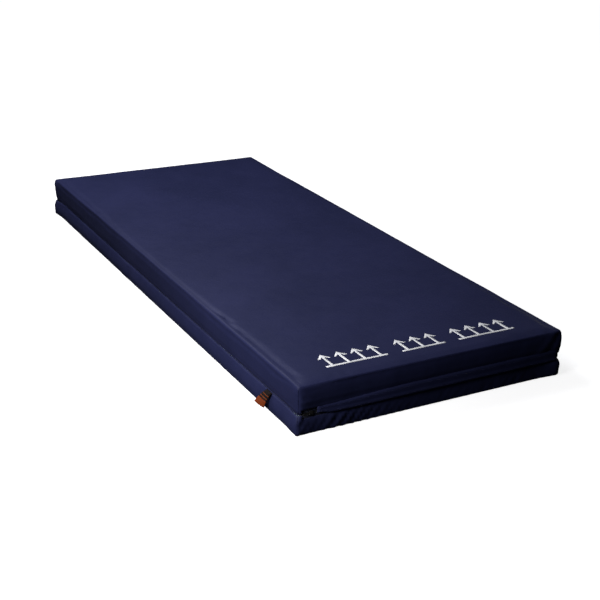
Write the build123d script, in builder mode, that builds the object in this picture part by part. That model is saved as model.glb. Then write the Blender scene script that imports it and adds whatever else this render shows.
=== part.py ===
from build123d import *
import os

# Foam pressure relief mattress in a zipped, coated cover. Millimetres, +Z up.
# The origin is the centre of the underside. +Y points to the head end, and the
# long side at -X is the sewn side, on which the unzipped top cover folds open.

# ---- Overall sizes, over the cover skirts -------------------------------------
length = 2000.0
width = 850.0
height = 140.0

# ---- Cover ---------------------------------------------------------------------
skin = 1.4  # coated fabric and its hem allowance
corner_radius = 12.0
top_edge_radius = 9.0
bottom_edge_radius = 6.0
opening_height = 60.0  # the zip, and the sewn seam on the left
skirt_above_zip = 12.0  # skirt's lower edge to the zip's centre line
border_below_zip = 12.0  # zip's centre line to the border's upper edge
border_below_seam = 2.0  # seam to the border's upper edge, on the sewn side

# ---- Sewn seam on the left, which is the hinge -----------------------------------
welt_radius = 1.2
welt_flange_thickness = 1.0
welt_flange_depth = 14.0
welt_clear_of_corner = 1.0  # the welt stops short of the rounded corners
seam_clearance = 0.6  # between the welt and the skirt that turns about it

# ---- Zip ------------------------------------------------------------------------
tape_thickness = 1.2
tape_overlap = 10.0  # sewn behind the skirt or the border
coil_gap = 1.5  # between the two coil halves, for the slider's post
coil_height = 2.25
coil_depth = 1.3
tape_from_corner = 14.0  # left corner to the zip's window
tape_under_corner = 5.0  # the tape runs on behind the corner
coil_clear_of_slider = 1.5  # parked slider's far end to where the coils begin
stop_length = 4.0
stop_clear_of_slider = 1.0  # stops to the parked slider's near end

# ---- Slider and puller ------------------------------------------------------------
slider_from_corner = 34.0  # left corner to the parked slider's near end
slider_length = 12.0
slider_height = 12.0
plate_thickness = 1.2
coil_clearance = 0.4
flange_thickness = 1.2
flange_reach = 1.3
post_width = 0.9
post_length = 3.0
lug_length = 2.0
lug_thickness = 1.0
lug_gap = 5.4  # between the two lugs, along the pin
pin_radius = 0.4
pin_stand = 1.1  # pin's axis to the slider's outer plate
pin_from_end = 1.2
eye_radius = 0.95
eye_clearance = 0.15
eye_height = 4.4
puller_length = 22.0
puller_width = 8.0
puller_neck_width = 4.0
puller_neck = 3.0
puller_thickness = 1.0
puller_hole_radius = 1.5

# ---- Weather flaps over the zip -----------------------------------------------------
flap_thickness = 1.2
flap_above_zip = 21.0  # sewn upper edge
flap_below_zip = 10.0  # free lower edge
flap_clearance = 0.45  # closed flap to the puller that slides under it
flap_shoulder = 5.0  # drop over which it stands off
flap_bend_radius = 3.0
flap_edge_gap = 0.9  # turning axis of the sewn edge, out from the skirt
flap_clear_of_slider = 11.0  # parked slider's far end to where the end flaps begin
flap_corner_gap = 20.0  # at every other corner

# ---- Side tag ------------------------------------------------------------------------
tag_length = 44.0
tag_width = 30.0
tag_thickness = 1.6
tag_angle = 50.0  # below horizontal, where its own stiffness holds it
tag_below_seam = 3.0
tag_stand = 1.5  # folding axis, out from the border
tag_from_foot = 155.0

# ---- Foam core -----------------------------------------------------------------------
core_inset = 8.5
core_top_clearance = 0.4
core_edge_radius = 6.0
visco_thickness = 50.0
rail_width = 80.0
groove_width = 3.0
groove_depth = 30.0
groove_rows = 13  # across the mattress
groove_columns = 5  # along the mattress
groove_margin = 90.0  # edge of the core to the nearest groove

# ---- Printed orientation marks ----------------------------------------------------------
print_thickness = 0.4
print_from_foot = 62.0
stroke = 8.0
arrow_height = 76.0  # from the bar's lower edge to the tip
arrow_head_width = 40.0
arrow_head_height = 26.0
arrow_pitch = 50.0
arrows_in_group = (4, 3, 4)
group_gap = 46.0

# ---- Worked out from the sizes above ------------------------------------------------------
left = -width / 2
right = width / 2
foot = -length / 2
head = length / 2
seam_x = left + skin / 2
welt_end_gap = corner_radius + welt_clear_of_corner
skirt_seam_edge = opening_height + welt_radius + seam_clearance
skirt_zip_edge = opening_height + skirt_above_zip
border_seam_edge = opening_height - border_below_seam
border_zip_edge = opening_height - border_below_zip
window_x = left + tape_from_corner
coil_low = opening_height - coil_gap / 2 - coil_height
coil_high = opening_height + coil_gap / 2 + coil_height
tape_inner = skin + tape_thickness
plate_inner_face = foot + skin - coil_depth - coil_clearance
plate_outer_face = plate_inner_face - plate_thickness
back_plate_face = foot + tape_inner + coil_clearance
slider_end = slider_from_corner + slider_length
slider_x = left + slider_from_corner + slider_length / 2
pin_x = left + slider_from_corner + pin_from_end
pin_y = plate_outer_face - pin_stand
flap_stand = foot - pin_y + eye_radius + flap_clearance + flap_thickness / 2  # to its middle
flap_foot_start = slider_end + flap_clear_of_slider
core_top = height - skin - core_top_clearance
visco_bottom = core_top - visco_thickness
core_width = width - 2 * core_inset
core_length = length - 2 * core_inset
block_width = core_width - 2 * rail_width

os.makedirs("parts", exist_ok=True)


def write(piece, name):
    """Label a finished piece and write it to its own file."""
    piece.part.label = name
    export_step(piece.part, f"parts/{name}.step")


def outline(inset):
    """The mattress outline in plan, inset by a distance, in the current sketch."""
    RectangleRounded(width - 2 * inset, length - 2 * inset, corner_radius - inset)


def remove_left_of(x_line):
    """Take away what the current sketch holds on the sewn side of a line."""
    with Locations((left, 0)):
        Rectangle(2 * (x_line - left), 2 * length, mode=Mode.SUBTRACT)


# ==== Cover ==================================================================================


def cover_shell(low, high, radius, open_end):
    """A rounded tray of cover fabric between two heights, open at one end."""
    with BuildPart() as tray:
        with BuildSketch(Plane.XY.offset(low)):
            outline(0)
        extrude(amount=high - low)
        ends = tray.faces().sort_by(Axis.Z)
        closed_end = ends[0] if open_end else ends[-1]
        fillet(closed_end.edges(), radius)
        offset(amount=-skin, openings=tray.faces().sort_by(Axis.Z)[open_end])
    return tray.part


def zip_window(low, high):
    """The band that the zip leaves open on the foot, right and head sides."""
    with BuildPart() as window:
        with BuildSketch(Plane.XY.offset(low)):
            with Locations((window_x + width, 0)):
                Rectangle(2 * width, 2 * length)
        extrude(amount=high - low)
    return window.part


top_shell = cover_shell(skirt_seam_edge, height, top_edge_radius, 0)
top_window = zip_window(opening_height, skirt_zip_edge)
bottom_shell = cover_shell(0, border_seam_edge, bottom_edge_radius, -1)
bottom_window = zip_window(border_zip_edge, opening_height)

# The top panel and its skirt are one sheet, with the four corners sewn up.
with BuildPart() as top_cover:
    add(top_shell)
    add(top_window, mode=Mode.SUBTRACT)
write(top_cover, "top_cover")

# The underside and its border make a tray that stays under the foam.
with BuildPart() as bottom_cover:
    add(bottom_shell)
    add(bottom_window, mode=Mode.SUBTRACT)
write(bottom_cover, "bottom_cover")

# Piping in the sewn side: a round bead on the hinge line, on a flat flange that is
# sewn to the inside of the border.
with BuildPart() as left_seam_welt:
    with BuildSketch(Plane.XZ.offset(-(head - welt_end_gap))):
        with Locations((seam_x, opening_height)):
            Circle(welt_radius)
        with Locations((left + skin, opening_height - welt_flange_depth)):
            Rectangle(welt_flange_thickness, welt_flange_depth, align=Align.MIN)
    extrude(amount=length - 2 * welt_end_gap)
write(left_seam_welt, "left_seam_welt")


# ==== Zip ======================================================================================


def zip_band(outer, inner, low, high, start_x):
    """A strip that follows the foot, right and head sides, between two insets."""
    with BuildPart() as band:
        with BuildSketch(Plane.XY.offset(low)):
            outline(outer)
            RectangleRounded(
                width - 2 * inner, length - 2 * inner, corner_radius - inner, mode=Mode.SUBTRACT
            )
            remove_left_of(start_x)
        extrude(amount=high - low)
    return band


tape_start = window_x - tape_under_corner
upper_tape_edge = opening_height + coil_gap / 2
lower_tape_edge = opening_height - coil_gap / 2
coil_outer = skin - coil_depth

upper_zip_tape = zip_band(skin, tape_inner, upper_tape_edge, skirt_zip_edge + tape_overlap, tape_start)
write(upper_zip_tape, "upper_zip_tape")
lower_zip_tape = zip_band(skin, tape_inner, border_zip_edge - tape_overlap, lower_tape_edge, tape_start)
write(lower_zip_tape, "lower_zip_tape")
coil_start = left + slider_end + coil_clear_of_slider
upper_zip_coil = zip_band(coil_outer, skin, upper_tape_edge, coil_high, coil_start)
write(upper_zip_coil, "upper_zip_coil")
lower_zip_coil = zip_band(coil_outer, skin, coil_low, lower_tape_edge, coil_start)
write(lower_zip_coil, "lower_zip_coil")


stop_end = left + slider_from_corner - stop_clear_of_slider


def zip_stops(low):
    """The clamped stop blocks at the foot and head ends of one tape."""
    with BuildPart() as stops:
        with BuildSketch(Plane.XY.offset(low)):
            for face_y in (foot, head):
                inward = 1 if face_y < 0 else -1
                middle_y = face_y + inward * (coil_outer + coil_depth / 2)
                with Locations((stop_end - stop_length / 2, middle_y)):
                    Rectangle(stop_length, coil_depth)
        extrude(amount=coil_height)
    return stops


upper_zip_stops = zip_stops(upper_tape_edge)
write(upper_zip_stops, "upper_zip_stops")
lower_zip_stops = zip_stops(coil_low)
write(lower_zip_stops, "lower_zip_stops")

# ==== Slider and puller =============================================================================

# Two plates with the tapes between them, joined by the post that parts the coils.
# The outer plate has flanges that guide the coils, and two lugs for the puller.
with BuildPart() as slider_body:
    with BuildSketch(Plane.XZ.offset(-plate_inner_face)):
        with Locations((slider_x, opening_height)):
            RectangleRounded(slider_length, slider_height, slider_height / 4)
    extrude(amount=plate_thickness)
    with BuildSketch(Plane.XZ.offset(-(back_plate_face + plate_thickness))):
        with Locations((slider_x, opening_height)):
            RectangleRounded(slider_length, slider_height, slider_height / 4)
    extrude(amount=plate_thickness)
    with BuildSketch(Plane.XZ.offset(-(plate_inner_face + flange_reach))):
        with GridLocations(0, slider_height - flange_thickness, 1, 2):
            with Locations((slider_x, opening_height)):
                Rectangle(slider_length / 2, flange_thickness)
    extrude(amount=flange_reach)
    with BuildSketch(Plane.XZ.offset(-(back_plate_face + plate_thickness / 2))):
        with Locations((left + slider_from_corner + post_length / 2, opening_height)):
            Rectangle(post_length, post_width)
    extrude(amount=back_plate_face - plate_inner_face + plate_thickness)
    with BuildSketch(Plane.XY.offset(opening_height - lug_gap / 2 - lug_thickness)):
        with Locations((pin_x, plate_outer_face)):
            Rectangle(lug_length, pin_stand + 2 * pin_radius, align=(Align.CENTER, Align.MAX))
        with Locations((pin_x, pin_y)):
            Circle(pin_radius, mode=Mode.SUBTRACT)
    lower_lug = extrude(amount=lug_thickness)
    mirror(lower_lug, about=Plane.XY.offset(opening_height))
write(slider_body, "slider_body")

with BuildPart() as puller_pin:
    with BuildSketch(Plane.XY.offset(opening_height - lug_gap / 2 - lug_thickness)):
        with Locations((pin_x, pin_y)):
            Circle(pin_radius)
    extrude(amount=lug_gap + 2 * lug_thickness)
write(puller_pin, "puller_pin")

# A flat tab with an eye round the pin. Parked, it lies along the zip towards the corner.
with BuildPart() as puller_tab:
    with BuildSketch(Plane.XZ.offset(-(pin_y + puller_thickness / 2))):
        with Locations((pin_x, opening_height)):
            Rectangle(puller_neck + 1, puller_neck_width, align=(Align.MAX, Align.CENTER))
        with Locations((pin_x - puller_neck, opening_height)):
            Rectangle(puller_length - puller_neck, puller_width, align=(Align.MAX, Align.CENTER))
        fillet(vertices().group_by(Axis.X)[0], puller_width / 3)
        with Locations((pin_x - puller_length + puller_width / 2, opening_height)):
            Circle(puller_hole_radius, mode=Mode.SUBTRACT)
    extrude(amount=puller_thickness)
    with BuildSketch(Plane.XY.offset(opening_height - eye_height / 2)):
        with Locations((pin_x, pin_y)):
            Circle(eye_radius)
    extrude(amount=eye_height)
    with BuildSketch(Plane.XY.offset(opening_height - eye_height)):
        with Locations((pin_x, pin_y)):
            Circle(pin_radius + eye_clearance)
    extrude(amount=2 * eye_height, mode=Mode.SUBTRACT)
write(puller_tab, "puller_tab")

# ==== Weather flaps ====================================================================================


def flap(section_plane, span):
    """A flap that hangs over the zip. In the section, X points out and Y points up."""
    top = opening_height + flap_above_zip
    bottom = opening_height - flap_below_zip
    with BuildPart() as strip:
        with BuildSketch(section_plane):
            with BuildLine():
                FilletPolyline(
                    (flap_edge_gap, top),
                    (flap_stand, top - flap_shoulder),
                    (flap_stand, bottom),
                    radius=flap_bend_radius,
                )
            trace(line_width=flap_thickness)
            with Locations((flap_edge_gap, top), (flap_stand, bottom)):
                Circle(flap_thickness / 2)
        extrude(amount=span)
    return strip


end_span = width - flap_foot_start - flap_corner_gap
side_span = length - 2 * flap_corner_gap
foot_section = Plane(origin=(right - flap_corner_gap, foot, 0), x_dir=(0, -1, 0), z_dir=(-1, 0, 0))
right_section = Plane(origin=(right, head - flap_corner_gap, 0), x_dir=(1, 0, 0), z_dir=(0, -1, 0))
head_section = Plane(origin=(left + flap_foot_start, head, 0), x_dir=(0, 1, 0), z_dir=(1, 0, 0))

flap_foot = flap(foot_section, end_span)
write(flap_foot, "flap_foot")
flap_right = flap(right_section, side_span)
write(flap_right, "flap_right")
flap_head = flap(head_section, end_span)
write(flap_head, "flap_head")

# ==== Side tag ===========================================================================================

# A folded loop of woven ribbon, sewn in just under the seam near the foot end.
with BuildPart() as side_tag:
    with BuildSketch(Plane.XZ.offset(-(foot + tag_from_foot))):
        with Locations(Location((left - tag_stand, opening_height - tag_below_seam), tag_angle)):
            with Locations((-tag_length / 2, 0)):
                SlotOverall(tag_length + tag_thickness, tag_thickness)
    extrude(amount=-tag_width / 2, both=True)
write(side_tag, "side_tag")

# ==== Foam core ============================================================================================

# Resilient foam block, between two firmer rails that hold the edges up.
with BuildPart() as base_foam:
    with BuildSketch(Plane.XY.offset(skin)):
        Rectangle(block_width, core_length)
    extrude(amount=visco_bottom - skin)
write(base_foam, "base_foam")


def edge_rail(side):
    """The firm rail along one long side."""
    with BuildPart() as rail:
        with BuildSketch(Plane.XY.offset(skin)):
            with Locations((side * (core_width - rail_width) / 2, 0)):
                Rectangle(rail_width, core_length)
        extrude(amount=visco_bottom - skin)
    return rail


edge_rail_left = edge_rail(-1)
write(edge_rail_left, "edge_rail_left")
edge_rail_right = edge_rail(1)
write(edge_rail_right, "edge_rail_right")

# Slow-recovery foam on top, cut into cells so that each one gives by itself.
row_pitch = (core_length - 2 * groove_margin) / (groove_rows - 1)
column_pitch = (core_width - 2 * groove_margin) / (groove_columns - 1)
with BuildPart() as visco_layer:
    with BuildSketch(Plane.XY.offset(visco_bottom)):
        Rectangle(core_width, core_length)
    extrude(amount=visco_thickness)
    fillet(visco_layer.faces().sort_by(Axis.Z)[-1].edges(), core_edge_radius)
    with BuildSketch(Plane.XY.offset(core_top)):
        with GridLocations(0, row_pitch, 1, groove_rows):
            Rectangle(core_width, groove_width)
        with GridLocations(column_pitch, 0, groove_columns, 1):
            Rectangle(groove_width, core_length)
    extrude(amount=-groove_depth, mode=Mode.SUBTRACT)
write(visco_layer, "visco_layer")

# ==== Printed orientation marks =================================================================================

# Groups of upward arrows on a bar, across the foot end: this side goes on top.
with BuildSketch() as arrow:
    Rectangle(stroke, arrow_height - stroke, align=(Align.CENTER, Align.MIN))
    with BuildLine():
        Polyline(
            (-arrow_head_width / 2, arrow_height - arrow_head_height),
            (0, arrow_height),
            (arrow_head_width / 2, arrow_height - arrow_head_height),
            (arrow_head_width / 2 - stroke, arrow_height - arrow_head_height),
            (0, arrow_height - 1.5 * stroke),
            (stroke - arrow_head_width / 2, arrow_height - arrow_head_height),
            close=True,
        )
    make_face()

group_widths = [(count - 1) * arrow_pitch + arrow_head_width for count in arrows_in_group]
print_width = sum(group_widths) + group_gap * (len(arrows_in_group) - 1)
bar_y = foot + print_from_foot
with BuildPart() as orientation_print:
    with BuildSketch(Plane.XY.offset(height)):
        group_x = -print_width / 2
        for count, group_width in zip(arrows_in_group, group_widths):
            with Locations((group_x + group_width / 2, bar_y)):
                Rectangle(group_width, stroke, align=(Align.CENTER, Align.MIN))
                with GridLocations(arrow_pitch, 0, count, 1):
                    add(arrow.sketch)
            group_x += group_width + group_gap
    extrude(amount=print_thickness)
write(orientation_print, "orientation_print")
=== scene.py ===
# %% [markdown]
# # A pressure relief mattress
# A hospital foam mattress is a soft core zipped into a coated cover. The hard facts, such as the zip line,
# the hinge side and every size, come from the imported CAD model, and this script only dresses them. Each
# cell below makes one piece or one finish, and says why it is made that way.

import math

import bmesh
import bpy
from mathutils import Matrix, Vector, noise
from mathutils.bvhtree import BVHTree


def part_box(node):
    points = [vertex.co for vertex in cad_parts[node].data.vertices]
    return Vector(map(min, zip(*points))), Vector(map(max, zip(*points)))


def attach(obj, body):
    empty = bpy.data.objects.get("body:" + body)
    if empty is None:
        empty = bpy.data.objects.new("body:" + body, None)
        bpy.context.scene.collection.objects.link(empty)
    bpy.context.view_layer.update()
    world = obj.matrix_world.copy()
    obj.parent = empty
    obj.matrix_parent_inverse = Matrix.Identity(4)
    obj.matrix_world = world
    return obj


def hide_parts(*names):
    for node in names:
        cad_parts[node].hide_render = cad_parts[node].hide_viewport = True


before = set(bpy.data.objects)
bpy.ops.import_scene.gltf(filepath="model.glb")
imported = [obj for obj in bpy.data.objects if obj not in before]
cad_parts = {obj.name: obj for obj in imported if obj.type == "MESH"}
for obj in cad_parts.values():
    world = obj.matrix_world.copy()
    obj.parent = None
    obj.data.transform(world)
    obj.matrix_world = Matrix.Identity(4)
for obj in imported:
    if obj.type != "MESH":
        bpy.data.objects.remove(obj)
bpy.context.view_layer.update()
MM = 0.001

top_low, top_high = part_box("top_cover")
bottom_low, bottom_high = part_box("bottom_cover")
LEFT, FOOT = top_low[0], top_low[1]
RIGHT, HEAD = top_high[0], top_high[1]
WIDTH, LENGTH, HEIGHT = RIGHT - LEFT, HEAD - FOOT, top_high[2]
print("mattress", round(WIDTH, 3), round(LENGTH, 3), round(HEIGHT, 3))

# %% [markdown]
# ## Camera
# The camera stands off the foot end, left of the mattress and a little above it, with a short telephoto
# lens. Its place is written as an azimuth, an elevation and a distance from an aim point, because those are
# the numbers that change when a tripod is moved. A small roll tilts the frame, as a hand-held camera would.

# %% Camera
AZIMUTH, ELEVATION, ROLL = math.radians(-29.0), math.radians(22.3), math.radians(1.68)
DISTANCE = 3.98
SENSOR_WIDTH, FOCAL_LENGTH = 36.0, 69.9  # both in millimetres
AIM = Vector((0.0863, -0.0739, -0.0556))

away = Vector(
    (
        math.sin(AZIMUTH) * math.cos(ELEVATION),
        -math.cos(AZIMUTH) * math.cos(ELEVATION),
        math.sin(ELEVATION),
    )
)
camera_data = bpy.data.cameras.new("camera")
camera_data.sensor_width = SENSOR_WIDTH
camera_data.lens = FOCAL_LENGTH
camera_data.clip_end = 100.0
camera = bpy.data.objects.new("camera", camera_data)
bpy.context.collection.objects.link(camera)
turn = away.to_track_quat("Z", "Y").to_matrix().to_4x4() @ Matrix.Rotation(ROLL, 4, "Z")
camera.matrix_world = Matrix.Translation(AIM + away * DISTANCE) @ turn
bpy.context.scene.camera = camera
print("camera at", [round(c, 3) for c in camera.location])

# %% [markdown]
# ## Studio
# Three soft boxes light the mattress: a wide one above the head end for the sleeping surface, a small one
# off the left side for that side's near half, and a faint one on the right for the flap's edge. None faces
# the foot end, which stays nearly black. The floor looks white to the camera but sends little light back: a
# Light Path node splits what the camera sees from what the other rays see. Only the stage does this.
# To the camera the floor also glows, a painted light, and that glow is dimmed near the mattress as a painted
# shade round it.


# %% Lights, world and floor
def soft_box(name, place, target, size, power, tint):
    """An area light at a place, turned to face a target."""
    light = bpy.data.lights.new(name, "AREA")
    light.shape = "RECTANGLE"
    light.size, light.size_y = size
    light.energy = power
    light.color = tint
    lamp = bpy.data.objects.new(name, light)
    lamp.matrix_world = Matrix.Translation(place) @ (
        (Vector(place) - Vector(target)).to_track_quat("Z", "Y").to_matrix().to_4x4()
    )
    lamp.visible_camera = False
    bpy.context.collection.objects.link(lamp)
    return lamp


WARM_WHITE, COOL_WHITE, PALE_WHITE = (1.0, 0.99, 0.98), (0.96, 0.97, 1.0), (0.97, 0.98, 1.0)
key_box = soft_box("key_box", (-1.35, -1.22, 0.85), (-0.5, -0.5, 0.0), (0.55, 0.55), 8.0, WARM_WHITE)
key_box.data.spread = math.radians(105.0)
soft_box("top_box", (-0.8, 0.8, 2.05), (-0.2, 0.4, 0.0), (1.2, 1.2), 47.0, COOL_WHITE)
soft_box("right_fill", (2.3, 0.0, 0.3), (0.4, 0.1, 0.07), (1.2, 0.3), 5.0, PALE_WHITE)

world = bpy.data.worlds.new("studio")
world.use_nodes = True
bpy.context.scene.world = world
backdrop = world.node_tree.nodes["Background"]
rays = world.node_tree.nodes.new("ShaderNodeLightPath")
seen = world.node_tree.nodes.new("ShaderNodeMix")
seen.data_type = "RGBA"
seen.inputs["A"].default_value = (0.014, 0.016, 0.022, 1.0)
seen.inputs["B"].default_value = (1.0, 1.0, 1.0, 1.0)
world.node_tree.links.new(rays.outputs["Is Camera Ray"], seen.inputs["Factor"])
world.node_tree.links.new(seen.outputs["Result"], backdrop.inputs["Color"])

scene = bpy.context.scene
scene.view_settings.view_transform = "Standard"
scene.view_settings.look = "None"

FLOOR_SIZE = 60.0
GLOW_NEAR, GLOW_FAR = 0.9, 1.7  # the floor brightens between these distances from the middle
GLOW_AT_NEAR, GLOW_AT_FAR = 0.78, 1.0
floor_mesh = bpy.data.meshes.new("floor")
bm = bmesh.new()
bmesh.ops.create_grid(bm, x_segments=1, y_segments=1, size=FLOOR_SIZE / 2)
bm.to_mesh(floor_mesh)
bm.free()
floor = bpy.data.objects.new("floor", floor_mesh)
bpy.context.collection.objects.link(floor)
floor_material = bpy.data.materials.new("studio_floor")
floor_material.use_nodes = True
tree = floor_material.node_tree
tree.nodes.clear()
output = tree.nodes.new("ShaderNodeOutputMaterial")
paint = tree.nodes.new("ShaderNodeBsdfDiffuse")
paint.inputs["Color"].default_value = (0.6, 0.6, 0.62, 1.0)
# Painted light: the floor glows though it is no lamp, and the glow is weaker near the mattress, a painted
# shade round it.
glow = tree.nodes.new("ShaderNodeEmission")
glow.inputs["Color"].default_value = (1.0, 1.0, 1.0, 1.0)
floor_place = tree.nodes.new("ShaderNodeTexCoord")
away_from_middle = tree.nodes.new("ShaderNodeVectorMath")
away_from_middle.operation = "LENGTH"
tree.links.new(floor_place.outputs["Object"], away_from_middle.inputs[0])
brighten = tree.nodes.new("ShaderNodeMapRange")
for socket, number in (
    ("From Min", GLOW_NEAR),
    ("From Max", GLOW_FAR),
    ("To Min", GLOW_AT_NEAR),
    ("To Max", GLOW_AT_FAR),
):
    brighten.inputs[socket].default_value = number
tree.links.new(away_from_middle.outputs["Value"], brighten.inputs["Value"])
tree.links.new(brighten.outputs["Result"], glow.inputs["Strength"])
both = tree.nodes.new("ShaderNodeAddShader")
dull = tree.nodes.new("ShaderNodeBsdfDiffuse")
dull.inputs["Color"].default_value = (0.018, 0.018, 0.02, 1.0)
pick = tree.nodes.new("ShaderNodeMixShader")
floor_rays = tree.nodes.new("ShaderNodeLightPath")
tree.links.new(paint.outputs[0], both.inputs[0])
tree.links.new(glow.outputs[0], both.inputs[1])
tree.links.new(floor_rays.outputs["Is Camera Ray"], pick.inputs["Fac"])
tree.links.new(dull.outputs[0], pick.inputs[1])
tree.links.new(both.outputs[0], pick.inputs[2])
tree.links.new(pick.outputs[0], output.inputs["Surface"])
floor_mesh.materials.append(floor_material)

# %% [markdown]
# ## Finishes shared by several pieces
# Coated ward fabric is a stretch knit under a matt polyurethane film. From near by it shows a very fine knit,
# a leathery grain in the film and cloudy patches where the film is thinner. These effects are needed on the
# covers, flaps and piping, so they are one node group with its scales as inputs. Shaders stay outside it.


# %% Node helpers
def make_group(name, inputs, outputs):
    """An empty shader node group with named sockets. Inputs map names to (socket kind, default)."""
    group = bpy.data.node_groups.new(name, "ShaderNodeTree")
    for socket, (kind, default) in inputs.items():
        made = group.interface.new_socket(socket, in_out="INPUT", socket_type=kind)
        if default is not None:
            made.default_value = default
    for socket, kind in outputs.items():
        group.interface.new_socket(socket, in_out="OUTPUT", socket_type=kind)
    return group, group.nodes.new("NodeGroupInput"), group.nodes.new("NodeGroupOutput")


def put(tree, kind, **values):
    """Add a node. Names with a leading capital are sockets, the others are the node's own settings."""
    node = tree.nodes.new(kind)
    for name, value in values.items():
        if name[0].isupper():
            node.inputs[name.replace("_", " ")].default_value = value
        else:
            setattr(node, name, value)
    return node


def math_node(tree, operation, first, second, clamp=False):
    """A Math node fed by sockets or plain numbers."""
    node = tree.nodes.new("ShaderNodeMath")
    node.operation = operation
    node.use_clamp = clamp
    for slot, value in zip(node.inputs, (first, second)):
        if isinstance(value, (int, float)):
            slot.default_value = value
        else:
            tree.links.new(value, slot)
    return node.outputs[0]


def spread(tree, value, from_low, from_high, to_low, to_high):
    """Map a value from one range to another, clamped at both ends."""
    node = tree.nodes.new("ShaderNodeMapRange")
    for socket, number in (
        ("From Min", from_low),
        ("From Max", from_high),
        ("To Min", to_low),
        ("To Max", to_high),
    ):
        node.inputs[socket].default_value = number
    tree.links.new(value, node.inputs["Value"])
    return node.outputs["Result"]


def blend_colour(tree, factor, low, high):
    """A colour mix between two plain colours or sockets."""
    node = tree.nodes.new("ShaderNodeMix")
    node.data_type = "RGBA"
    for socket, value in (("A", low), ("B", high)):
        if isinstance(value, tuple):
            node.inputs[socket].default_value = (*value, 1.0)
        else:
            tree.links.new(value, node.inputs[socket])
    tree.links.new(factor, node.inputs["Factor"])
    return node.outputs["Result"]


def noise_at(tree, vector, scale, detail=2.0, roughness=0.5):
    """A Noise texture's value on a vector socket."""
    node = put(tree, "ShaderNodeTexNoise", Detail=detail, Roughness=roughness)
    tree.links.new(vector, node.inputs["Vector"])
    if isinstance(scale, (int, float)):
        node.inputs["Scale"].default_value = scale
    else:
        tree.links.new(scale, node.inputs["Scale"])
    return node.outputs["Fac"]


# %% Coated knit group
WAVE_PERIODS = 0.16  # a Wave texture's scale for one band per unit
knit, knit_in, knit_out = make_group(
    "coated_knit",
    {
        "Vector": ("NodeSocketVector", None),
        "Threads per metre": ("NodeSocketFloat", 900.0),
        "Grain scale": ("NodeSocketFloat", 420.0),
        "Cloud scale": ("NodeSocketFloat", 4.0),
    },
    {"Height": "NodeSocketFloat", "Cloud": "NodeSocketFloat", "Crease": "NodeSocketFloat"},
)
courses = put(knit, "ShaderNodeTexWave", bands_direction="X", Distortion=0.6, Detail=1.0)
wales = put(knit, "ShaderNodeTexWave", bands_direction="Y", Distortion=0.6, Detail=1.0)
for wave in (courses, wales):
    knit.links.new(knit_in.outputs["Vector"], wave.inputs["Vector"])
    knit.links.new(
        math_node(knit, "MULTIPLY", knit_in.outputs["Threads per metre"], WAVE_PERIODS),
        wave.inputs["Scale"],
    )
loops = math_node(knit, "MULTIPLY", courses.outputs["Fac"], wales.outputs["Fac"])
grain = noise_at(knit, knit_in.outputs["Vector"], knit_in.outputs["Grain scale"], 4.0, 0.6)
height = math_node(
    knit, "ADD", math_node(knit, "MULTIPLY", loops, 0.35), math_node(knit, "MULTIPLY", grain, 0.65)
)
cloud = noise_at(knit, knit_in.outputs["Vector"], knit_in.outputs["Cloud scale"], 3.0, 0.55)
crease = noise_at(
    knit,
    knit_in.outputs["Vector"],
    math_node(knit, "MULTIPLY", knit_in.outputs["Cloud scale"], 7.0),
    5.0,
    0.6,
)
knit.links.new(height, knit_out.inputs["Height"])
knit.links.new(cloud, knit_out.inputs["Cloud"])
knit.links.new(crease, knit_out.inputs["Crease"])


# %% Cover fabric
def cover_material(name, deep, pale, grain_strength, roughness):
    """Coated navy knit: two tones clouded together, a soft sheen and a fine grain."""
    material = bpy.data.materials.new(name)
    material.use_nodes = True
    tree = material.node_tree
    shader = tree.nodes["Principled BSDF"]
    place = put(tree, "ShaderNodeTexCoord")
    effect = put(tree, "ShaderNodeGroup", node_tree=knit)
    tree.links.new(place.outputs["Object"], effect.inputs["Vector"])
    tone = spread(tree, effect.outputs["Cloud"], 0.3, 0.7, 0.0, 1.0)
    tree.links.new(blend_colour(tree, tone, deep, pale), shader.inputs["Base Color"])
    matt = spread(tree, effect.outputs["Crease"], 0.3, 0.7, roughness - 0.05, roughness + 0.07)
    tree.links.new(matt, shader.inputs["Roughness"])
    shader.inputs["Specular IOR Level"].default_value = 0.17
    shader.inputs["Sheen Weight"].default_value = 0.008
    shader.inputs["Sheen Roughness"].default_value = 0.5
    shader.inputs["Sheen Tint"].default_value = (0.75, 0.8, 1.0, 1.0)
    creases = put(tree, "ShaderNodeBump", Strength=0.22, Distance=0.004)
    tree.links.new(effect.outputs["Crease"], creases.inputs["Height"])
    weave = put(tree, "ShaderNodeBump", Strength=grain_strength, Distance=0.0004)
    tree.links.new(effect.outputs["Height"], weave.inputs["Height"])
    tree.links.new(creases.outputs["Normal"], weave.inputs["Normal"])
    tree.links.new(weave.outputs["Normal"], shader.inputs["Normal"])
    return material


cover_fabric = cover_material(
    "coated_navy", (0.0125, 0.0155, 0.055), (0.0178, 0.0208, 0.0705), 0.35, 0.58
)
cover_lining = cover_material("cover_lining", (0.085, 0.1, 0.16), (0.115, 0.135, 0.2), 0.8, 0.82)
print("cover fabric ready")

# %% [markdown]
# ## Cover shells
# Each half of the cover is a box whose upright corners and one rim are rounded, open where the zip runs. A
# cube is scaled to the CAD box, beveled, opened, and cut by planes into small cells, because wrinkles need
# vertices. The cells are finer across the mattress, where the slanting folds of the foot border run close
# together.

# %% Cover shell builder
CORNER_RADIUS = 7 * MM
RIM_RADIUS = 4.5 * MM
CELL_X, CELL_Y, CELL_Z = 8 * MM, 12 * MM, 6 * MM


def steps_between(low, high, step):
    """Evenly spaced places strictly between two limits, about one step apart."""
    count = max(1, round((high - low) / step))
    return [low + (high - low) * i / count for i in range(1, count)]


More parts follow.
